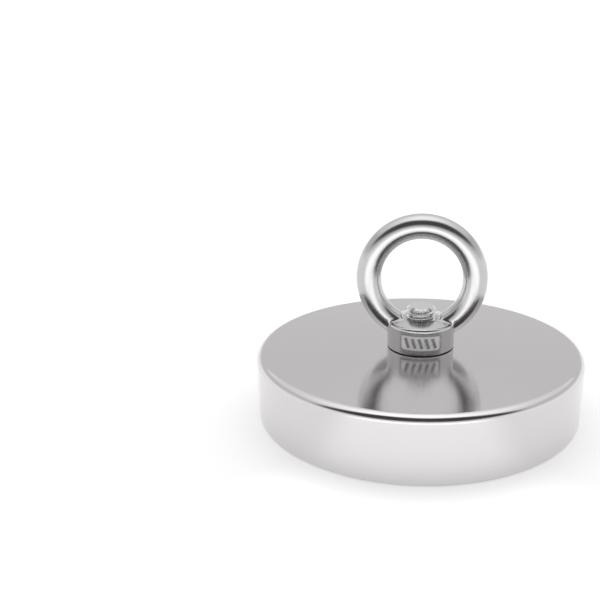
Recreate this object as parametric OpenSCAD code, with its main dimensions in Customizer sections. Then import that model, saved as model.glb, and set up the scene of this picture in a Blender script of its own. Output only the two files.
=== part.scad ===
// Pot magnet for magnet fishing: a steel cup holding a glued-in ring magnet, a
// potted gap round it, and a countersunk screw that carries an eye nut.
// The working face lies on the plane z = 0 and the eye stands up along +Z.

/* [Steel cup] */
// Outside diameter of the cup
cup_d = 108; // [100:1:120]
// Height of the cup
cup_h = 21.5; // [21:0.5:23]
// Width of the cup's rim, measured from the outside
rim_w = 7.4; // [6:0.1:9]
// Radius of the rounded edge round the top
top_round = 2.4; // [1:0.1:3]
// Radius of the rounded edge round the rim
rim_round = 1; // [0.5:0.1:1.2]

/* [Ring magnet] */
// Width of the potted gap between the magnet and the cup's wall
gap_w = 4.5; // [3:0.1:6]
// Thickness of the magnet
magnet_h = 12; // [10:0.5:13]
// How far the magnet's face sits behind the rim
magnet_recess = 0.1; // [0.05:0.05:0.3]
// Small chamfer round the magnet's edges
magnet_edge = 0.4; // [0.2:0.1:0.6]
// Diameter of the magnet's straight hole
magnet_bore_d = 11; // [10.5:0.1:12]

/* [Adhesives] */
// Thickness of the cured adhesive behind the magnet
bond_t = 0.3; // [0.2:0.05:0.5]
// How far the potting sits behind the rim
potting_recess = 0.6; // [0.3:0.1:1]

/* [Countersunk screw] */
// Outside diameter of the thread
thread_d = 10; // [9.8:0.1:10]
// Thread pitch, which sets the length of the turned chamfer at the screw's end
thread_pitch = 1.5; // [1.25:0.25:1.5]
// Overall length, head included
screw_len = 35; // [33:0.5:37]
// Diameter of the head
head_d = 18; // [17.8:0.1:18.3]
// How far the head's face sits behind the rim
head_recess = 0.3; // [0.2:0.1:0.5]
// Span of the cross recess
cross_span = 12; // [10:0.1:12.4]
// Width of one wing of the cross recess
cross_w = 2.4; // [1.8:0.1:2.6]

/* [Eye nut] */
// Diameter of the round bar that the ring is bent from
bar_d = 8; // [7.5:0.1:8.5]
// Inside diameter of the ring
eye_d = 26.6; // [25:0.1:28]
// Height of the ring's centre above the cup
eye_rise = 22.9; // [22:0.1:23.5]
// Diameter of the collar
collar_d = 22.2; // [21:0.1:24]
// Height of the collar at its edge
collar_h = 9; // [8.4:0.1:9.2]
// Height of the spot face round the thread
boss_h = 9.8; // [9.4:0.1:10.4]
// Width of the framed panel on the collar
panel_w = 13; // [11:0.5:14]
// Height of the framed panel on the collar
panel_h = 4.8; // [4:0.1:5]
// Number of slanted ribs in the panel
panel_ribs = 5; // [3:1:7]

/* [Hidden] */
$fn = 128;
eps = 0.01;

cup_r = cup_d / 2;
pocket_r = cup_r - rim_w;
magnet_r = pocket_r - gap_w;
magnet_top = magnet_recess + magnet_h;
pocket_depth = magnet_top + bond_t;

thread_r = thread_d / 2;
fit_gap = 0.07;               // radial clearance of the threaded pair
shank_r = thread_r - fit_gap;
hole_gap = 0.5;               // radial clearance of the plain holes
clear_r = thread_r + hole_gap;
bond_hole_r = clear_r + hole_gap;
head_r = head_d / 2;
head_land = 0.4;              // straight edge of the head
seat_gap = 0.1;               // radial clearance under the head
head_cone_z = head_recess + head_land;
seat_r = head_r + head_cone_z + seat_gap - magnet_recess;
screw_end = head_recess + screw_len;
point_chamfer = 0.6 * thread_pitch;
cross_depth = 4.6;
cross_tip_r = 1.1;            // the cross recess narrows to this radius

bar_r = bar_d / 2;
ring_r = eye_d / 2 + bar_r;
eye_z = cup_h + eye_rise;
collar_r = collar_d / 2;
collar_chamfer = 0.9;
foot_chamfer = 0.5;
boss_r = 6.4;
bore_chamfer = 0.4;
panel_depth = 0.35;
panel_z = cup_h + (foot_chamfer + collar_h - collar_chamfer) / 2;
rib_w = 0.9;
rib_slant = 18;
rib_margin = 0.7;             // clear space above and below the ribs
rib_h = panel_h - 2 * rib_margin;
rib_end_gap = 1;              // clear space beside the outer ribs
rib_step = (panel_w - 2 * rib_end_gap) / panel_ribs;
cut_over = 2;                 // how far a cutter runs past the metal

// A closed ring of revolution from a list of [radius, height] points.
module lathe(points) {
    rotate_extrude() polygon(points);
}

// Half section of the solid disc that the cup is turned from, with its two rounded edges.
module disc_section() {
    square([cup_r - top_round, cup_h]);
    square([cup_r - rim_round, cup_h / 2]);
    translate([0, rim_round]) square([cup_r, cup_h - top_round - rim_round]);
    translate([cup_r - top_round, cup_h - top_round]) circle(r = top_round);
    translate([cup_r - rim_round, rim_round]) circle(r = rim_round);
}

// Turned cup, open downwards, with a clearance hole through its plate.
module steel_cup() {
    color("lightgray")
    difference() {
        rotate_extrude() disc_section();
        translate([0, 0, -eps]) cylinder(r = pocket_r, h = pocket_depth + eps);
        cylinder(r = clear_r, h = cup_h + eps);
    }
}

// Thin disc of cured adhesive between the magnet and the cup's plate.
module magnet_bond() {
    color("goldenrod")
    translate([0, 0, magnet_top])
    difference() {
        cylinder(r = magnet_r, h = bond_t);
        translate([0, 0, -eps]) cylinder(r = bond_hole_r, h = bond_t + 2 * eps);
    }
}

// Sintered ring with a 90 degree seat for the screw's head.
module ring_magnet() {
    color("silver")
    lathe([
        [seat_r, magnet_recess],
        [magnet_r - magnet_edge, magnet_recess],
        [magnet_r, magnet_recess + magnet_edge],
        [magnet_r, magnet_top],
        [magnet_bore_d / 2, magnet_top],
        [magnet_bore_d / 2, magnet_recess + seat_r - magnet_bore_d / 2]
    ]);
}

// Cast resin that fills the gap between the magnet and the cup's wall.
module potting_ring() {
    color("black")
    lathe([
        [magnet_r, potting_recess],
        [pocket_r, potting_recess],
        [pocket_r, pocket_depth],
        [magnet_r, pocket_depth]
    ]);
}

// Cross recess: two crossed slots that taper inwards to a blunt point.
module cross_recess() {
    intersection() {
        union() {
            for (turn = [0, 90])
                rotate([0, 0, turn])
                translate([-cross_span / 2, -cross_w / 2, 0])
                cube([cross_span, cross_w, cross_depth]);
            rotate([0, 0, 45])
            translate([-cross_w, -cross_w, 0])
            cube([2 * cross_w, 2 * cross_w, cross_depth]);
        }
        translate([0, 0, -eps])
        cylinder(r1 = cross_span / 2, r2 = cross_tip_r, h = cross_depth);
    }
}

// Screw with its head down; the plain shank stands at the thread's outside diameter.
module countersunk_screw() {
    color("gainsboro")
    difference() {
        lathe([
            [0, head_recess],
            [head_r, head_recess],
            [head_r, head_cone_z],
            [shank_r, head_cone_z + head_r - shank_r],
            [shank_r, screw_end - point_chamfer],
            [shank_r - point_chamfer, screw_end],
            [0, screw_end]
        ]);
        translate([0, 0, head_recess]) cross_recess();
    }
}

// Collar of the eye nut, with a gently coned top.
module collar() {
    translate([0, 0, cup_h])
    lathe([
        [0, 0],
        [collar_r - foot_chamfer, 0],
        [collar_r, foot_chamfer],
        [collar_r, collar_h - collar_chamfer],
        [collar_r - collar_chamfer, collar_h],
        [boss_r, boss_h],
        [0, boss_h]
    ]);
}

// Round bar bent to a ring, standing across the X axis.
module eye_ring() {
    translate([0, 0, eye_z])
    rotate([90, 0, 0])
    rotate_extrude() translate([ring_r, 0]) circle(r = bar_r, $fn = 64);
}

// Shallow framed panel on the collar's front, with a row of slanted ribs left standing.
module panel_pocket() {
    difference() {
        intersection() {
            translate([0, 0, panel_z - panel_h / 2]) difference() {
                cylinder(r = collar_r + cut_over, h = panel_h);
                translate([0, 0, -eps]) cylinder(r = collar_r - panel_depth, h = panel_h + 2 * eps);
            }
            translate([-panel_w / 2, -collar_r - cut_over, 0])
            cube([panel_w, collar_r + cut_over, eye_z]);
        }
        for (k = [0 : panel_ribs - 1])
            translate([(k - (panel_ribs - 1) / 2) * rib_step, 0, panel_z])
            rotate([0, rib_slant, 0])
            translate([-rib_w / 2, -collar_r - cut_over, -rib_h / 2])
            cube([rib_w, collar_r, rib_h]);
    }
}

// Eye nut in one piece: ring, collar, threaded bore and panel.
module eye_nut() {
    color("silver")
    difference() {
        union() {
            collar();
            eye_ring();
        }
        translate([0, 0, cup_h - eps]) cylinder(r = thread_r, h = boss_h + cut_over);
        translate([0, 0, cup_h + boss_h]) cylinder(r = boss_r, h = cut_over);
        translate([0, 0, cup_h - eps])
            cylinder(r1 = thread_r + bore_chamfer, r2 = thread_r, h = bore_chamfer);
        translate([0, 0, cup_h + boss_h - bore_chamfer])
            cylinder(r1 = thread_r, r2 = thread_r + bore_chamfer, h = bore_chamfer + eps);
        panel_pocket();
    }
}

steel_cup();
magnet_bond();
ring_magnet();
potting_ring();
countersunk_screw();
eye_nut();
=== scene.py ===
import math

import bmesh
import bpy
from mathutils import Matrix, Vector


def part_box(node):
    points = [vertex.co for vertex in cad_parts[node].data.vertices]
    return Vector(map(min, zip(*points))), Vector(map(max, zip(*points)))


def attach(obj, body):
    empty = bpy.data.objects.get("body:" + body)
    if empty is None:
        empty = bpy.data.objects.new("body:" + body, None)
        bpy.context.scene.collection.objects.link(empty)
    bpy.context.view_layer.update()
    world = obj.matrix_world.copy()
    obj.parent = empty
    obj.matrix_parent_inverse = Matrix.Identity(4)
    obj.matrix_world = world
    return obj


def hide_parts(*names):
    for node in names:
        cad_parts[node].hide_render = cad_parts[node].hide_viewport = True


mm = 0.001
hair = 0.01 * mm        # how far a cutter starts outside the face that it cuts
overrun = 1 * mm        # how far a cutter runs past the metal
slack = 0.02 * mm       # two places nearer than this are one

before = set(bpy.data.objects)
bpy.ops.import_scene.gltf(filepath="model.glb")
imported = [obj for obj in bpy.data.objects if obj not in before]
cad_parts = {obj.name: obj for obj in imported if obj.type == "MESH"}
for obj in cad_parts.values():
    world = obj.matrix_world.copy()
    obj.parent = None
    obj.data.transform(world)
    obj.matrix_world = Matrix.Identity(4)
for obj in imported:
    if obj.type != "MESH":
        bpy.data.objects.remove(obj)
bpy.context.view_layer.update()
cupLow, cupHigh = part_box("steel_cup")
magnetLow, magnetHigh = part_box("ring_magnet")
pottingLow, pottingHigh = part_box("potting_ring")
screwLow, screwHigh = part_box("countersunk_screw")
eyeLow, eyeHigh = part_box("eye_nut")


# settings are the node's own properties, its sockets and a ramp's (position, colour) stops, and
# links are (socket, other node, its output)
def addNode(tree, kind, settings=None, links=()):
    node = tree.nodes.new(kind)
    for key, value in (settings or {}).items():
        if key == "stops":
            while len(node.color_ramp.elements) < len(value):
                node.color_ramp.elements.new(1)
            for stop, (position, colour) in zip(node.color_ramp.elements, value):
                stop.position, stop.color = position, colour
        elif isinstance(key, int) or key in node.inputs:
            node.inputs[key].default_value = value
        else:
            setattr(node, key, value)
    for socket, other, output in links:
        tree.links.new(other.outputs[output], node.inputs[socket])
    return node


def newMaterial(name, finish):
    material = bpy.data.materials.new(name)
    material.use_nodes = True
    shader = material.node_tree.nodes["Principled BSDF"]
    for key, value in finish.items():
        shader.inputs[key].default_value = value
    return material, material.node_tree, shader


def linearColour(hexText):
    channels = [int(hexText[i:i + 2], 16) / 255 for i in (1, 3, 5)]
    return tuple(c / 12.92 if c <= 0.04045 else ((c + 0.055) / 1.055) ** 2.4 for c in channels) + (1,)


# a plain number for a ramp or a light, already linear
def grey(level):
    return (level, level, level, 1)


cameraPlace = {
    "distance": 245 * mm,       # from the middle of the magnet's top
    "elevation": 21.0,
    "lens": 43.77,
    "pan": 2.09,
    "tilt": 1.36,
    "roll": -0.76,
    "shiftX": -0.165,
    "shiftY": 0.0447,
    "clipStart": 10 * mm,
}


def makeCamera():
    rise = math.radians(cameraPlace["elevation"])
    away = cameraPlace["distance"]
    bpy.ops.object.camera_add(
        location=(0, -away * math.cos(rise), cupHigh.z + away * math.sin(rise)),
        rotation=(
            math.radians(90 - cameraPlace["elevation"] + cameraPlace["tilt"]),
            math.radians(cameraPlace["roll"]),
            math.radians(cameraPlace["pan"]),
        ),
    )
    camera = bpy.context.object
    camera.name = "studioCamera"
    camera.data.lens = cameraPlace["lens"]
    camera.data.shift_x = cameraPlace["shiftX"]
    camera.data.shift_y = cameraPlace["shiftY"]
    camera.data.clip_start = cameraPlace["clipStart"]
    bpy.context.scene.camera = camera


studio = {
    "softboxSize": (2.6, 1.9),      # width and depth of the overhead light
    "softboxHeight": 0.95,
    "softboxBack": 0.62,            # how far behind the object its middle hangs
    "softboxPower": 4,
    # white at floor level, grey walls and a bright ceiling: (height from horizon to zenith, colour)
    "walls": [
        (0.07, grey(1.1)),
        (0.24, (0.73, 0.72, 0.73, 1)),
        (0.45, grey(0.69)),
        (0.6, grey(0.61)),
        (0.75, grey(0.7)),
        (0.9, grey(1)),
        (1, grey(1.3)),
    ],
    # an unlit zone behind the camera: (direction, where it sets in, where it is full)
    "darkZone": [("Y", -0.15, -0.4), ("Z", 0.28, 0.42), ("Z", 0.97, 0.87)],
    "darkTone": grey(0.065),
    "floorSize": 3.2,
    "floorGlow": 0.38,              # the table is lit from below
    # painted light: a brighter pool towards its front, dipping close round the cup as painted contact
    # shadow: (distance from the middle, added glow)
    "paintedPoolAndShadow": [(54 * mm, 0.03), (70 * mm, 0.17), (90 * mm, 0.17), (160 * mm, 0.8)],
    "aheadEdges": (-0.7, -0.9),     # directions along Y where that glow sets in and is full
}


# one wide softbox overhead
def hangSoftbox():
    bpy.ops.object.light_add(
        type="AREA", location=(0, studio["softboxBack"], studio["softboxHeight"])
    )
    softbox = bpy.context.object
    softbox.name = "overheadSoftbox"
    softbox.data.shape = "RECTANGLE"
    softbox.data.size, softbox.data.size_y = studio["softboxSize"]
    softbox.data.energy = studio["softboxPower"]


def paintSurroundings():
    world = bpy.data.worlds.new("paleStudio")
    bpy.context.scene.world = world
    world.use_nodes = True
    tree = world.node_tree
    tree.nodes.clear()
    place = addNode(tree, "ShaderNodeTexCoord")
    split = addNode(tree, "ShaderNodeSeparateXYZ", {}, [("Vector", place, "Generated")])
    walls = addNode(tree, "ShaderNodeValToRGB", {"stops": studio["walls"]}, [("Fac", split, "Z")])
    side, foot, head = (
        addNode(tree, "ShaderNodeMapRange", {
            "interpolation_type": "SMOOTHSTEP", "From Min": setsIn, "From Max": full,
        }, [("Value", split, direction)])
        for direction, setsIn, full in studio["darkZone"]
    )
    sideAndFoot = addNode(tree, "ShaderNodeMath", {"operation": "MULTIPLY"}, [
        (0, side, "Result"), (1, foot, "Result"),
    ])
    unlit = addNode(tree, "ShaderNodeMath", {"operation": "MULTIPLY"}, [
        (0, sideAndFoot, "Value"), (1, head, "Result"),
    ])
    tone = addNode(tree, "ShaderNodeMix", {"data_type": "RGBA", 7: studio["darkTone"]}, [
        (0, unlit, "Value"), (6, walls, "Color"),
    ])
    glow = addNode(tree, "ShaderNodeBackground", {}, [("Color", tone, 2)])
    addNode(tree, "ShaderNodeOutputWorld", {}, [("Surface", glow, "Background")])


# a table of white acrylic, lit from below, with a painted pool of light and painted contact shadow in its
# glow towards the front
def layTable():
    deselect()
    bpy.ops.mesh.primitive_plane_add(size=studio["floorSize"])
    floor = bpy.context.object
    floor.name = "studioFloor"
    material, tree, shader = newMaterial("backlitWhiteAcrylic", {
        "Base Color": linearColour("#EDEDEE"), "Roughness": 0.9, "Specular IOR Level": 0.2,
        "Emission Color": grey(1),
    })
    place = addNode(tree, "ShaderNodeTexCoord")
    far = addNode(tree, "ShaderNodeVectorMath", {"operation": "LENGTH"}, [(0, place, "Object")])
    steps = studio["paintedPoolAndShadow"]
    nearest, farthest = steps[0][0], steps[-1][0]
    away = addNode(tree, "ShaderNodeMapRange", {"From Min": nearest, "From Max": farthest}, [
        ("Value", far, "Value"),
    ])
    # painted pool of light towards the front, and painted contact shadow close round the cup
    clear = addNode(tree, "ShaderNodeValToRGB", {"stops": [
        ((distance - nearest) / (farthest - nearest), grey(glow)) for distance, glow in steps
    ]}, [("Fac", away, "Result")])
    clear.color_ramp.interpolation = "EASE"
    heading = addNode(tree, "ShaderNodeVectorMath", {"operation": "NORMALIZE"}, [(0, place, "Object")])
    parts = addNode(tree, "ShaderNodeSeparateXYZ", {}, [("Vector", heading, "Vector")])
    setsIn, full = studio["aheadEdges"]
    ahead = addNode(tree, "ShaderNodeMapRange", {
        "interpolation_type": "SMOOTHSTEP", "From Min": setsIn, "From Max": full,
    }, [("Value", parts, "Y")])
    lamp = addNode(tree, "ShaderNodeMath", {
        "operation": "MULTIPLY_ADD", 2: studio["floorGlow"],
    }, [(0, clear, "Color"), (1, ahead, "Result")])
    tree.links.new(lamp.outputs["Value"], shader.inputs["Emission Strength"])
    floor.data.materials.append(material)


# leaves edit mode if the active object is in it
def deselect():
    if bpy.context.object and bpy.context.object.mode == "EDIT":
        bpy.ops.object.mode_set(mode="OBJECT")
    bpy.ops.object.select_all(action="DESELECT")


def makeActive(piece):
    deselect()
    piece.select_set(True)
    bpy.context.view_layer.objects.active = piece


# names the primitive just added and puts its place into its mesh, then opens it for editing
def startPiece(name):
    piece = bpy.context.object
    piece.name = piece.data.name = name
    bpy.ops.object.transform_apply(location=True, rotation=True, scale=True)
    bpy.ops.object.mode_set(mode="EDIT")
    return piece


def addCylinder(name, radius, low, high, sides=256):
    deselect()
    bpy.ops.mesh.primitive_cylinder_add(
        vertices=sides, radius=radius, depth=high - low, location=(0, 0, (low + high) / 2)
    )
    return startPiece(name)


def addCone(name, lowRadius, highRadius, depth, middle, sides):
    deselect()
    bpy.ops.mesh.primitive_cone_add(
        vertices=sides, radius1=lowRadius, radius2=highRadius, depth=depth, location=(0, 0, middle)
    )
    return startPiece(name)


def addBox(name, low, high):
    deselect()
    middle = [(a + b) / 2 for a, b in zip(low, high)]
    bpy.ops.mesh.primitive_cube_add(size=1, location=middle, scale=[b - a for a, b in zip(low, high)])
    return startPiece(name)


# selects the vertices, edges or faces whose every corner passes the test
def pick(kind, test):
    bpy.ops.mesh.select_mode(type=kind)
    bpy.ops.mesh.select_all(action="DESELECT")
    mesh = bmesh.from_edit_mesh(bpy.context.object.data)
    if kind == "VERT":
        for corner in mesh.verts:
            corner.select_set(test(corner.co))
    else:
        for part in mesh.edges if kind == "EDGE" else mesh.faces:
            part.select_set(all(test(corner.co) for corner in part.verts))
    bmesh.update_edit_mesh(bpy.context.object.data)


def reach(co):
    return math.hypot(co.x, co.y)


def near(value, wanted, within=slack):
    return abs(value - wanted) < within


# a test for what lies at one height
def flatAt(height):
    return lambda co: near(co.z, height)


# a test for the ring at one radius and height; an inset leaves its ring a few microns out
def ringAt(radius, height):
    return lambda co: near(co.z, height) and near(reach(co), radius, within=0.03 * mm)


def insetBy(width, depth=0):
    bpy.ops.mesh.inset(thickness=width, depth=depth)


def extrudeUp(height, widen=1.0):
    bpy.ops.mesh.extrude_region_move(TRANSFORM_OT_translate={"value": (0, 0, height)})
    if widen != 1.0:
        bpy.ops.transform.resize(value=(widen, widen, 1))


# joins two facing end caps of one radius into a through hole
def openHole(low, high, radius):
    pick("FACE", lambda co: (near(co.z, low) or near(co.z, high)) and reach(co) < radius + slack)
    bpy.ops.mesh.bridge_edge_loops()


def roundEdge(test, radius, segments):
    pick("EDGE", test)
    bpy.ops.mesh.bevel(
        offset=radius, offset_type="OFFSET", segments=segments, profile=0.5, affect="EDGES"
    )


def applyModifier(piece, kind, **settings):
    makeActive(piece)
    modifier = piece.modifiers.new(kind.title(), kind)
    for key, value in settings.items():
        setattr(modifier, key, value)
    bpy.ops.object.modifier_apply(modifier=modifier.name)


def combine(piece, tool, operation):
    applyModifier(piece, "BOOLEAN", object=tool, operation=operation, solver="MANIFOLD")
    bpy.data.objects.remove(tool)


def smoothUnder(piece, angle):
    makeActive(piece)
    bpy.ops.object.shade_smooth_by_angle(angle=math.radians(angle))


# smooth turned faces and crisp flat ones
def finishTurned(piece):
    smoothUnder(piece, 30)
    applyModifier(piece, "WEIGHTED_NORMAL", mode="FACE_AREA", weight=60, keep_sharp=True)


cupShape = {
    "rim": 7.4 * mm,
    "topRound": 2.4 * mm,
    "rimRound": 1.0 * mm,
    "rimInnerRound": 0.25 * mm,
    "holeRadius": 5.5 * mm,
    "holeBevel": 0.4 * mm,
}


# the steel cup, open downwards, with a clearance hole through its plate
def makeCup():
    radius, bottom, top = cupHigh.x, cupLow.z, cupHigh.z
    pocket, plate = radius - cupShape["rim"], pottingHigh.z
    hole = cupShape["holeRadius"]
    piece = addCylinder("cup", radius, bottom, top, sides=320)
    pick("FACE", flatAt(bottom))
    insetBy(cupShape["rim"])
    extrudeUp(plate - bottom)
    insetBy(pocket - hole)
    pick("FACE", flatAt(top))
    insetBy(radius - hole)
    openHole(plate, top, hole)
    roundEdge(ringAt(radius, top), cupShape["topRound"], segments=14)
    roundEdge(ringAt(radius, bottom), cupShape["rimRound"], segments=8)
    roundEdge(ringAt(pocket, bottom), cupShape["rimInnerRound"], segments=4)
    roundEdge(ringAt(hole, top), cupShape["holeBevel"], segments=1)
    finishTurned(piece)
    return piece


magnetShape = {
    "edgeRound": 0.35 * mm,
    "seatRadius": 9.7 * mm,
    "boreRadius": 5.5 * mm,
    "seatEdgeRound": 0.12 * mm,
}


# the ring magnet, with a 90 degree seat for the screw's head
def makeMagnet():
    radius, face, top = magnetHigh.x, magnetLow.z, magnetHigh.z
    seat, bore = magnetShape["seatRadius"], magnetShape["boreRadius"]
    piece = addCylinder("ringMagnet", radius, face, top)
    pick("FACE", flatAt(face))
    insetBy(radius - seat)
    extrudeUp(seat - bore, widen=bore / seat)
    pick("FACE", flatAt(top))
    insetBy(radius - bore)
    openHole(face + seat - bore, top, bore)
    roundEdge(ringAt(radius, face), magnetShape["edgeRound"], segments=5)
    roundEdge(ringAt(seat, face), magnetShape["seatEdgeRound"], segments=3)
    finishTurned(piece)
    return piece


pottingShape = {
    # the liquid resin climbed both walls and set hollow: (step in from the wall, step down)
    "meniscus": [
        (0.12 * mm, 0.16 * mm),
        (0.2 * mm, 0.12 * mm),
        (0.35 * mm, 0.08 * mm),
        (0.6 * mm, 0.05 * mm),
        (0.7 * mm, 0.02 * mm),
    ],
    "wallRise": 0.32 * mm,
    "smoothAngle": 50,
}


# the black potting between magnet and cup
def makePotting():
    outer, inner = pottingHigh.x, magnetHigh.x
    low, high = pottingLow.z - pottingShape["wallRise"], pottingHigh.z
    piece = addCylinder("pottingResin", outer, low, high)
    for end in (low, high):
        pick("FACE", flatAt(end))
        insetBy(outer - inner)
    openHole(low, high, inner)
    pick("FACE", flatAt(low))
    for width, drop in pottingShape["meniscus"]:
        insetBy(width, -drop)
    smoothUnder(piece, pottingShape["smoothAngle"])
    return piece


# the screw and the eye nut share one thread
thread = {
    "pitch": 1.5 * mm,
    "start": 3.0 * mm,          # height where its helix starts
    "crestCentre": 0.6,         # how far up the pitch its crest lies
    "flankAngle": 30,
    "steps": 72,                # to a turn
    "weld": 0.001 * mm,
    "cutSlack": 0.0001 * mm,
}


# a threaded rod that ends flat at both heights
def makeThreadRod(name, low, high, root, crest, crestHalf):
    pitch, start, steps = thread["pitch"], thread["start"], thread["steps"]
    flank = (crest - root) * math.tan(math.radians(thread["flankAngle"]))
    centre = thread["crestCentre"] * pitch
    section = [
        (root, 0),
        (root, centre - crestHalf - flank),
        (crest, centre - crestHalf),
        (crest, centre + crestHalf),
        (root, centre + crestHalf + flank),
        (root, pitch),
    ]
    # one pitch of the outline, drawn point by point from a plane merged to a corner
    deselect()
    bpy.ops.mesh.primitive_plane_add(size=mm)
    piece = startPiece(name)
    bpy.ops.mesh.select_mode(type="VERT")
    bpy.ops.mesh.select_all(action="SELECT")
    bpy.ops.mesh.merge(type="CENTER")
    bpy.ops.transform.translate(value=(root, 0, start))
    for (r0, z0), (r1, z1) in zip(section, section[1:]):
        bpy.ops.mesh.extrude_region_move(TRANSFORM_OT_translate={"value": (r1 - r0, 0, z1 - z0)})
    turns = math.ceil((high - start) / pitch) + 2
    applyModifier(
        piece, "SCREW", screw_offset=pitch, iterations=turns, steps=steps, render_steps=steps,
        use_merge_vertices=True, merge_threshold=thread["weld"],
    )
    bpy.ops.object.mode_set(mode="EDIT")
    for height, above in ((low, False), (high, True)):
        bpy.ops.mesh.select_all(action="SELECT")
        bpy.ops.mesh.bisect(
            plane_co=(0, 0, height), plane_no=(0, 0, 1), use_fill=True,
            clear_inner=not above, clear_outer=above, threshold=thread["cutSlack"],
        )
    bpy.ops.mesh.select_all(action="SELECT")
    bpy.ops.mesh.remove_doubles(threshold=thread["weld"])
    bpy.ops.mesh.normals_make_consistent(inside=False)
    return piece


screwShape = {
    "land": 0.4 * mm,
    "shankRadius": 4.93 * mm,
    "threadFrom": 6.6 * mm,         # height where the plain neck ends
    "threadOverlap": 0.5 * mm,      # how far its rod runs into the neck and past the end
    "rootRadius": 4.1 * mm,
    "crestHalf": 0.09 * mm,
    "pointChamfer": 0.95 * mm,
    "headBevel": 0.1 * mm,
    "bevelAngle": 35,               # only sharper edges are bevelled
    "crossSpan": 12.0 * mm,
    "crossWidth": 2.4 * mm,
    "crossDepth": 4.6 * mm,
    "crossWaist": 3.3 * mm,         # reach of the diamond where the wings meet
    "crossTip": 1.0 * mm,           # and its reach at the deep end
    "wingStart": 0.2 * mm,          # how far below the face a wing's cutter starts
    "wingTaper": (0.24, 0.75),      # shares of a wing's span and width left at its deep end
    "smoothAngle": 25,
}


# a wing of the cross recess, along X or Y: a bar that narrows towards its deep end
def makeWing(name, alongX):
    halfX, halfY = screwShape["crossSpan"] / 2, screwShape["crossWidth"] / 2
    taperX, taperY = screwShape["wingTaper"]
    if not alongX:
        halfX, halfY, taperX, taperY = halfY, halfX, taperY, taperX
    start = screwLow.z - screwShape["wingStart"]
    deepEnd = screwLow.z + screwShape["crossDepth"]
    piece = addBox(name, (-halfX, -halfY, start), (halfX, halfY, deepEnd))
    pick("FACE", flatAt(deepEnd))
    bpy.ops.transform.resize(value=(taperX, taperY, 1))
    return piece


# the countersunk screw, head down
def makeScrew():
    face, end = screwLow.z, screwHigh.z
    radius, shank = screwHigh.x, screwShape["shankRadius"]
    landTop = face + screwShape["land"]
    neckTop = screwShape["threadFrom"]
    piece = addCylinder("crossScrew", radius, face, landTop, sides=128)
    pick("FACE", flatAt(landTop))
    extrudeUp(radius - shank, widen=shank / radius)
    extrudeUp(neckTop - landTop - radius + shank)

    for name, alongX in (("wingAcross", True), ("wingAlong", False)):
        combine(piece, makeWing(name, alongX), "DIFFERENCE")
    # the diamond-shaped waist, where the wings meet
    depth = screwShape["crossDepth"]
    waist = addCone(
        "crossWaist", screwShape["crossWaist"], screwShape["crossTip"], depth,
        middle=face + depth / 2 - hair, sides=4,
    )
    combine(piece, waist, "DIFFERENCE")
    applyModifier(
        piece, "BEVEL", width=screwShape["headBevel"], segments=2, limit_method="ANGLE",
        angle_limit=math.radians(screwShape["bevelAngle"]),
    )

    overlap = screwShape["threadOverlap"]
    rod = makeThreadRod(
        "threadRod", neckTop - overlap, end + overlap, screwShape["rootRadius"], shank,
        screwShape["crestHalf"],
    )
    # the end is turned to a chamfer, on which the thread runs out
    blank = addCylinder("pointBlank", radius, 0, end, sides=96)
    roundEdge(ringAt(radius, end), radius - shank + screwShape["pointChamfer"], segments=1)
    combine(rod, blank, "INTERSECT")
    combine(piece, rod, "UNION")
    smoothUnder(piece, screwShape["smoothAngle"])
    return piece


eyeShape = {
    "barRadius": 4.0 * mm,
    "collarHeight": 9.0 * mm,
    "collarRound": 0.9 * mm,
    "footRound": 0.55 * mm,
    "topSlope": 0.17,               # rise of the collar's coned top
    "spotRadius": 6.4 * mm,         # flat spot face round the thread
    "spotHeight": 9.8 * mm,
    "spotClear": 6.0 * mm,          # how far up the spot face's cutter reaches
    "threadRoot": 4.2 * mm,
    "threadCrest": 5.02 * mm,
    "threadCrestHalf": 0.1 * mm,
    "mouthChamfer": 0.4 * mm,
    "voxel": 0.22 * mm,
    "skinSmoothing": 2,
    "seamSmoothing": 14,
    "seamHalf": 1.3 * mm,           # how far the cast fillet reaches from the seam
    "seamFrom": 5.0 * mm,           # the seam lies further out than this to each side
    "smoothAngle": 38,
}

collarBottom, collarRadius = eyeLow.z, eyeHigh.y
shoulder = collarBottom + eyeShape["collarHeight"]
spotTop = collarBottom + eyeShape["spotHeight"]
ringRadius, ringCentre = eyeHigh.x - eyeShape["barRadius"], eyeHigh.z - eyeHigh.x

# what the grinding wheel trues after casting
truing = {
    "barSkin": 0.3 * mm,            # how near the true bar a point of the ring lies
    "barClear": 1.5 * mm,           # how far above the spot face or outside the wall the bar is trued
    "wallSkin": 0.16 * mm,          # how near the true wall a point of the collar lies
    "wallClear": 0.4 * mm,          # and how far off the bar
}


# how far a point stands off the ring's round bar
def offRing(co):
    across = math.hypot(co.x, co.z - ringCentre) - ringRadius
    return math.hypot(across, co.y) - eyeShape["barRadius"]


# how far a point stands off the collar's wall or its coned top
def offCollar(co):
    out = reach(co) - collarRadius
    return max(out, co.z - shoulder + out * eyeShape["topSlope"])


# the ring and the collar with its spot face, still with a sharp seam between them
def joinRingAndCollar():
    piece = addCylinder("eyeNut", collarRadius, collarBottom, shoulder, sides=192)
    pick("FACE", flatAt(shoulder))
    insetBy(collarRadius - eyeShape["spotRadius"])
    bpy.ops.transform.translate(value=(0, 0, spotTop - shoulder))
    roundEdge(ringAt(collarRadius, shoulder), eyeShape["collarRound"], segments=6)
    roundEdge(ringAt(collarRadius, collarBottom), eyeShape["footRound"], segments=4)
    deselect()
    bpy.ops.mesh.primitive_torus_add(
        major_radius=ringRadius, minor_radius=eyeShape["barRadius"], major_segments=192,
        minor_segments=64, location=(0, 0, ringCentre), rotation=(math.radians(90), 0, 0),
    )
    combine(piece, startPiece("ringBar"), "UNION")
    spot = addCylinder("spotCutter", eyeShape["spotRadius"], spotTop, spotTop + eyeShape["spotClear"])
    combine(piece, spot, "DIFFERENCE")
    return piece


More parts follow.
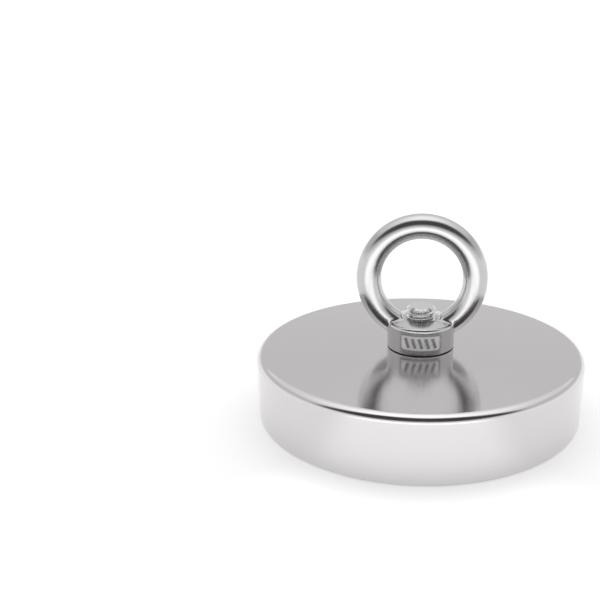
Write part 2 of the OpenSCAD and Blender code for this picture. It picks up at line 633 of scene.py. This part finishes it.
# one casting: an even skin, softened all over and more at the seam of ring and collar
def softenCasting(piece):
    applyModifier(piece, "REMESH", mode="VOXEL", voxel_size=eyeShape["voxel"], use_smooth_shade=True)
    bpy.ops.object.mode_set(mode="EDIT")
    bpy.ops.mesh.select_all(action="SELECT")
    bpy.ops.mesh.vertices_smooth(factor=0.5, repeat=eyeShape["skinSmoothing"])
    half, outside = eyeShape["seamHalf"], eyeShape["seamFrom"]
    pick("VERT", lambda co: abs(offRing(co)) < half and abs(offCollar(co)) < half and abs(co.x) > outside)
    bpy.ops.mesh.vertices_smooth(factor=0.5, repeat=eyeShape["seamSmoothing"])


# makes the free part of the ring true round bar, and the collar's wall a true cylinder
def trueCasting(piece):
    wallLow = collarBottom + eyeShape["footRound"]
    wallHigh = shoulder - eyeShape["collarRound"]
    clear = truing["barClear"]
    mesh = bmesh.from_edit_mesh(piece.data)
    for corner in mesh.verts:
        co = corner.co
        off, out = offRing(co), reach(co)
        onBar = abs(off) < truing["barSkin"]
        onWall = off > truing["wallClear"] and near(out, collarRadius, within=truing["wallSkin"])
        if onBar and (co.z > spotTop + clear or out > collarRadius + clear):
            heart = Vector((co.x, 0, co.z - ringCentre)).normalized() * ringRadius
            heart += Vector((0, 0, ringCentre))
            corner.co = heart + (co - heart).normalized() * eyeShape["barRadius"]
        elif onWall and wallLow < co.z < wallHigh:
            corner.co = (co.x * collarRadius / out, co.y * collarRadius / out, co.z)
    bmesh.update_edit_mesh(piece.data)


panelShape = {
    "width": 13.0 * mm,
    "height": 4.8 * mm,
    "depth": 0.4 * mm,
    "cornerRound": 0.8 * mm,
    "pocketReach": 0.6,             # the pocket's cutter ends at this share of the collar's radius
    "coreHeight": 12.0 * mm,
    "ribs": 5,
    "ribWidth": 0.95 * mm,
    "ribHeight": 3.4 * mm,
    "ribStep": 2.2 * mm,
    "ribSlant": 18,
    "ribReach": 0.5,                # and a rib's at this one
    "floorFrom": 0.6,               # the panel's floor lies between these shares of its depth
    "floorTo": 2.0,
}

panelMiddle = collarBottom + (
    eyeShape["footRound"] + eyeShape["collarHeight"] - eyeShape["collarRound"]
) / 2


# a block level with the panel, from outside the collar's front in to a share of its radius
def addFrontBlock(name, side, width, height, outside, share):
    return addBox(
        name,
        (side - width / 2, -collarRadius - outside, panelMiddle - height / 2),
        (side + width / 2, -collarRadius * share, panelMiddle + height / 2),
    )


# cuts the framed panel into the collar's front and leaves its slanted ribs standing
def cutPanel(collar):
    pocket = addFrontBlock(
        "panelPocket", 0, panelShape["width"], panelShape["height"], overrun, panelShape["pocketReach"]
    )
    # its four edges that run from front to back are rounded
    bpy.ops.mesh.select_mode(type="EDGE")
    bpy.ops.mesh.select_all(action="DESELECT")
    mesh = bmesh.from_edit_mesh(pocket.data)
    for edge in mesh.edges:
        one, other = (corner.co for corner in edge.verts)
        edge.select_set(near(one.x, other.x) and near(one.z, other.z))
    bpy.ops.mesh.bevel(offset=panelShape["cornerRound"], segments=4, affect="EDGES")
    core = addCylinder(
        "panelCore", collarRadius - panelShape["depth"], collarBottom - overrun,
        collarBottom + panelShape["coreHeight"],
    )
    combine(pocket, core, "DIFFERENCE")
    for k in range(panelShape["ribs"]):
        side = (k - (panelShape["ribs"] - 1) / 2) * panelShape["ribStep"]
        rib = addFrontBlock(
            f"rib{k}", side, panelShape["ribWidth"], panelShape["ribHeight"], 2 * overrun,
            panelShape["ribReach"],
        )
        bpy.ops.mesh.select_all(action="SELECT")
        bpy.ops.transform.rotate(
            value=math.radians(panelShape["ribSlant"]), orient_axis="Y",
            center_override=(side, -collarRadius, panelMiddle),
        )
        combine(pocket, rib, "DIFFERENCE")
    combine(collar, pocket, "DIFFERENCE")


# cuts the thread, and a chamfer at each of its mouths
def tapThread(piece):
    crest, chamfer = eyeShape["threadCrest"], eyeShape["mouthChamfer"]
    rod = makeThreadRod(
        "nutThread", collarBottom - overrun, spotTop + overrun, eyeShape["threadRoot"], crest,
        eyeShape["threadCrestHalf"],
    )
    combine(piece, rod, "DIFFERENCE")
    for middle, lowRadius, highRadius in (
        (collarBottom + chamfer / 2, crest + chamfer, crest),
        (spotTop - chamfer / 2, crest, crest + chamfer),
    ):
        mouth = addCone("mouthCutter", lowRadius, highRadius, chamfer + 2 * hair, middle, sides=128)
        combine(piece, mouth, "DIFFERENCE")


def makeEyeNut():
    piece = joinRingAndCollar()
    softenCasting(piece)
    trueCasting(piece)
    cutPanel(piece)
    tapThread(piece)
    smoothUnder(piece, eyeShape["smoothAngle"])
    return piece


# the floor of the panel keeps its as-cast skin
def markCastPanel(piece, material):
    depth = panelShape["depth"]
    piece.data.materials.append(material)
    for face in piece.data.polygons:
        x, y, z = face.center
        inPanel = abs(x) < panelShape["width"] / 2 and abs(z - panelMiddle) < panelShape["height"] / 2
        sunk = collarRadius - reach(face.center)
        if inPanel and y < 0 and depth * panelShape["floorFrom"] < sunk < depth * panelShape["floorTo"]:
            face.material_index = 1


# a noise texture's scale for features of this size, and a wave's for this spacing, both in millimetres
def noiseScale(size):
    return 1 / (size * mm)


def waveScale(spacing):
    return math.pi / (10 * spacing * mm)


# Low-carbon steel, turned on a lathe, polished and bright nickel-plated. The back is nearly a mirror,
# the wall a little softer, and the ground rim satin, all with faint rings left by the tool.
def nickelPlatedSteel():
    material, tree, shader = newMaterial("nickelPlatedTurnedSteel", {
        "Base Color": linearColour("#D8D5D6"), "Metallic": 1, "Anisotropic": 0.8,
        "Anisotropic Rotation": 0.25,
    })
    place = addNode(tree, "ShaderNodeTexCoord")
    facing = addNode(tree, "ShaderNodeSeparateXYZ", {}, [("Vector", place, "Normal")])
    # roughness from the way the surface faces: ground rim, wall, buffed edge, back
    slope = addNode(tree, "ShaderNodeMapRange", {"From Min": -1, "From Max": 1}, [("Value", facing, "Z")])
    polish = addNode(tree, "ShaderNodeValToRGB", {"stops": [
        (0, grey(0.3)), (0.5, grey(0.15)), (0.65, grey(0.09)), (0.97, grey(0.09)), (1, grey(0.14)),
    ]}, [("Fac", slope, "Result")])
    # handling marks, some 9 mm across
    smudge = addNode(tree, "ShaderNodeTexNoise", {
        "Scale": noiseScale(9), "Detail": 4, "Roughness": 0.6,
    }, [("Vector", place, "Object")])
    haze = addNode(tree, "ShaderNodeMapRange", {
        "From Min": 0.45, "From Max": 0.75, "To Min": 0, "To Max": 0.035,
    }, [("Value", smudge, "Fac")])
    rough = addNode(tree, "ShaderNodeMath", {"operation": "ADD"}, [
        (0, polish, "Color"), (1, haze, "Result"),
    ])
    # the tool's feed was about 0.08 mm a turn, drawn at 0.4 mm so that it shows
    rings = addNode(tree, "ShaderNodeTexWave", {
        "wave_type": "RINGS", "rings_direction": "Z", "Scale": waveScale(0.4), "Distortion": 0.6,
        "Detail": 2, "Detail Scale": 2,
    }, [("Vector", place, "Object")])
    lines = addNode(tree, "ShaderNodeTexWave", {
        "wave_type": "BANDS", "bands_direction": "Z", "Scale": waveScale(0.45), "Distortion": 0.6,
        "Detail": 2, "Detail Scale": 2,
    }, [("Vector", place, "Object")])
    marks = addNode(tree, "ShaderNodeMath", {"operation": "ADD"}, [(0, rings, "Fac"), (1, lines, "Fac")])
    relief = addNode(tree, "ShaderNodeBump", {"Strength": 1, "Distance": 0.0004 * mm}, [
        ("Height", marks, "Value"),
    ])
    # the turned rings draw every reflection out across themselves, in fans on the two flat faces
    around = addNode(tree, "ShaderNodeTangent", {"direction_type": "RADIAL", "axis": "Z"})
    tree.links.new(around.outputs["Tangent"], shader.inputs["Tangent"])
    tree.links.new(rough.outputs["Value"], shader.inputs["Roughness"])
    tree.links.new(relief.outputs["Normal"], shader.inputs["Normal"])
    return material


# Sintered neodymium magnet, ground flat and satin nickel-plated: even, pale and a little grainy. The
# countersink is painted dark, as painted shade for the shadowed gap round the screw's head.
def nickelPlatedMagnet():
    material, tree, shader = newMaterial("satinNickelGroundMagnet", {"Metallic": 1})
    place = addNode(tree, "ShaderNodeTexCoord")
    # sinter grain is microns wide, drawn at 0.35 mm so that it shows
    grain = addNode(tree, "ShaderNodeTexNoise", {"Scale": noiseScale(0.35), "Detail": 3}, [
        ("Vector", place, "Object"),
    ])
    patches = addNode(tree, "ShaderNodeTexNoise", {"Scale": noiseScale(14), "Detail": 2}, [
        ("Vector", place, "Object"),
    ])
    rough = addNode(tree, "ShaderNodeMapRange", {
        "From Min": 0.3, "From Max": 0.7, "To Min": 0.29, "To Max": 0.37,
    }, [("Value", patches, "Fac")])
    # painted shade inside the countersink's edge, for the shadowed gap round the screw's head
    flat = addNode(tree, "ShaderNodeVectorMath", {"operation": "MULTIPLY", 1: (1, 1, 0)}, [
        (0, place, "Object"),
    ])
    far = addNode(tree, "ShaderNodeVectorMath", {"operation": "LENGTH"}, [(0, flat, "Vector")])
    edge, edgeRound = magnetShape["seatRadius"], magnetShape["seatEdgeRound"]
    seatShade = addNode(tree, "ShaderNodeMapRange", {"From Min": edge, "From Max": edge - edgeRound}, [
        ("Value", far, "Value"),
    ])
    colour = addNode(tree, "ShaderNodeMix", {
        "data_type": "RGBA", 6: linearColour("#D6D4D6"), 7: linearColour("#232326"),
    }, [(0, seatShade, "Result")])
    relief = addNode(tree, "ShaderNodeBump", {"Strength": 1, "Distance": 0.003 * mm}, [
        ("Height", grain, "Fac"),
    ])
    tree.links.new(colour.outputs[2], shader.inputs["Base Color"])
    tree.links.new(rough.outputs["Result"], shader.inputs["Roughness"])
    tree.links.new(relief.outputs["Normal"], shader.inputs["Normal"])
    return material


# Black two-part epoxy, poured and left to level: glossy, with a few burst bubbles and specks of dust.
def castBlackEpoxy():
    material, tree, shader = newMaterial("castBlackEpoxy", {"IOR": 1.55, "Metallic": 0})
    place = addNode(tree, "ShaderNodeTexCoord")
    specks = addNode(tree, "ShaderNodeTexVoronoi", {"Scale": noiseScale(1.6), "Randomness": 1}, [
        ("Vector", place, "Object"),
    ])
    dust = addNode(tree, "ShaderNodeMapRange", {
        "From Min": 0.05, "From Max": 0.09, "To Min": 1, "To Max": 0,
    }, [("Value", specks, "Distance")])
    swell = addNode(tree, "ShaderNodeTexNoise", {"Scale": noiseScale(2.5), "Detail": 3}, [
        ("Vector", place, "Object"),
    ])
    colour = addNode(tree, "ShaderNodeMix", {
        "data_type": "RGBA", 6: linearColour("#0B0B0C"), 7: linearColour("#4A4A4C"),
    }, [(0, dust, "Result")])
    rough = addNode(tree, "ShaderNodeMapRange", {
        "From Min": 0.3, "From Max": 0.7, "To Min": 0.1, "To Max": 0.2,
    }, [("Value", swell, "Fac")])
    relief = addNode(tree, "ShaderNodeBump", {"Strength": 1, "Distance": 0.05 * mm}, [
        ("Height", swell, "Fac"),
    ])
    tree.links.new(colour.outputs[2], shader.inputs["Base Color"])
    tree.links.new(rough.outputs["Result"], shader.inputs["Roughness"])
    tree.links.new(relief.outputs["Normal"], shader.inputs["Normal"])
    return material


# Cured acrylic adhesive: a cloudy amber film.
def curedAdhesive():
    material, tree, shader = newMaterial("curedAmberAdhesive", {"IOR": 1.49, "Roughness": 0.45})
    place = addNode(tree, "ShaderNodeTexCoord")
    clouds = addNode(tree, "ShaderNodeTexNoise", {"Scale": noiseScale(4), "Detail": 4}, [
        ("Vector", place, "Object"),
    ])
    colour = addNode(tree, "ShaderNodeMix", {
        "data_type": "RGBA", 6: linearColour("#A88F55"), 7: linearColour("#CDBB86"),
    }, [(0, clouds, "Fac")])
    tree.links.new(colour.outputs[2], shader.inputs["Base Color"])
    return material


# Stainless steel, lost-wax cast, tumbled and polished: a bright ring, and a collar that keeps some of
# the casting's pebbled skin.
def polishedCastStainless():
    material, tree, shader = newMaterial("polishedCastStainless", {"Metallic": 1})
    place = addNode(tree, "ShaderNodeTexCoord")
    height = addNode(tree, "ShaderNodeSeparateXYZ", {}, [("Vector", place, "Object")])
    # 1 on the collar, falling to 0.12 on the ring from just below the shoulder to 6 mm above it
    collar = addNode(tree, "ShaderNodeMapRange", {
        "interpolation_type": "SMOOTHSTEP", "From Min": shoulder + 6 * mm, "From Max": shoulder - mm,
        "To Min": 0.12, "To Max": 1,
    }, [("Value", height, "Z")])
    pebbles = addNode(tree, "ShaderNodeTexNoise", {
        "Scale": noiseScale(0.9), "Detail": 3, "Roughness": 0.55,
    }, [("Vector", place, "Object")])
    waves = addNode(tree, "ShaderNodeTexNoise", {"Scale": noiseScale(4), "Detail": 1}, [
        ("Vector", place, "Object"),
    ])
    skin = addNode(tree, "ShaderNodeMath", {"operation": "MULTIPLY"}, [
        (0, pebbles, "Fac"), (1, collar, "Result"),
    ])
    fine = addNode(tree, "ShaderNodeBump", {"Strength": 1, "Distance": 0.02 * mm}, [
        ("Height", skin, "Value"),
    ])
    broad = addNode(tree, "ShaderNodeBump", {"Strength": 1, "Distance": 0.03 * mm}, [
        ("Height", waves, "Fac"), ("Normal", fine, "Normal"),
    ])
    rough = addNode(tree, "ShaderNodeMapRange", {
        "From Min": 0.1, "From Max": 1, "To Min": 0.21, "To Max": 0.18,
    }, [("Value", collar, "Result")])
    # painted shade: the collar's foot is darkened up to 0.45 mm above its bottom, for the contact shadow
    # in the joint under the collar
    footShade = addNode(tree, "ShaderNodeMapRange", {
        "interpolation_type": "SMOOTHSTEP", "From Min": collarBottom + 0.45 * mm,
        "From Max": collarBottom + 0.2 * mm,
    }, [("Value", height, "Z")])
    colour = addNode(tree, "ShaderNodeMix", {
        "data_type": "RGBA", 6: linearColour("#C8C7C7"), 7: linearColour("#2E2C2B"),
    }, [(0, footShade, "Result")])
    tree.links.new(colour.outputs[2], shader.inputs["Base Color"])
    tree.links.new(rough.outputs["Result"], shader.inputs["Roughness"])
    tree.links.new(broad.outputs["Normal"], shader.inputs["Normal"])
    return material


# The same stainless where no polishing wheel reached: pale, matte and pebbled. Its fine pits scatter
# the light as paint does, so it is drawn as a matte surface and not as a mirror.
def asCastStainless():
    material, tree, shader = newMaterial("asCastStainless", {
        "Base Color": linearColour("#FAFAF9"), "Metallic": 0, "Roughness": 0.42,
    })
    place = addNode(tree, "ShaderNodeTexCoord")
    pebbles = addNode(tree, "ShaderNodeTexNoise", {"Scale": noiseScale(0.5), "Detail": 3}, [
        ("Vector", place, "Object"),
    ])
    relief = addNode(tree, "ShaderNodeBump", {"Strength": 1, "Distance": 0.03 * mm}, [
        ("Height", pebbles, "Fac"),
    ])
    tree.links.new(relief.outputs["Normal"], shader.inputs["Normal"])
    return material


# Stainless machine screw, cold-headed with a rolled thread: bright, with faint rings on its head.
def rolledStainless():
    material, tree, shader = newMaterial("rolledStainlessScrew", {
        "Base Color": linearColour("#DCDCDD"), "Metallic": 1,
    })
    place = addNode(tree, "ShaderNodeTexCoord")
    scuffs = addNode(tree, "ShaderNodeTexNoise", {"Scale": noiseScale(1.5), "Detail": 4}, [
        ("Vector", place, "Object"),
    ])
    rough = addNode(tree, "ShaderNodeMapRange", {
        "From Min": 0.35, "From Max": 0.7, "To Min": 0.2, "To Max": 0.32,
    }, [("Value", scuffs, "Fac")])
    rings = addNode(tree, "ShaderNodeTexWave", {
        "wave_type": "RINGS", "rings_direction": "Z", "Scale": waveScale(0.35), "Distortion": 1,
    }, [("Vector", place, "Object")])
    relief = addNode(tree, "ShaderNodeBump", {"Strength": 1, "Distance": 0.001 * mm}, [
        ("Height", rings, "Fac"),
    ])
    tree.links.new(rough.outputs["Result"], shader.inputs["Roughness"])
    tree.links.new(relief.outputs["Normal"], shader.inputs["Normal"])
    return material


def setMaterial(piece, material):
    piece.data.materials.clear()
    piece.data.materials.append(material)


makeCamera()
hangSoftbox()
paintSurroundings()
layTable()
bpy.context.scene.view_settings.view_transform = "Standard"     # whites stay white
print("camera and studio ready")
cup, magnet, potting = makeCup(), makeMagnet(), makePotting()
print("cup, magnet and potting made")
screw = makeScrew()
print("screw made")
eyeNut = makeEyeNut()
print("eye nut made")

for piece, node, body, slotName, material in (
    (cup, "steel_cup", "pot", "nickel_plated_cup", nickelPlatedSteel()),
    (magnet, "ring_magnet", "pot", "nickel_plated_magnet", nickelPlatedMagnet()),
    (potting, "potting_ring", "pot", "potting_resin", castBlackEpoxy()),
    (screw, "countersunk_screw", "screw", "screw_steel", rolledStainless()),
    (eyeNut, "eye_nut", "eye", "cast_stainless", polishedCastStainless()),
):
    setMaterial(piece, material)
    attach(piece, body)
    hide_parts(node)
    print(piece.name, len(piece.data.polygons), "faces")
markCastPanel(eyeNut, asCastStainless())
setMaterial(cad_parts["magnet_bond"], curedAdhesive())
print("materials on")
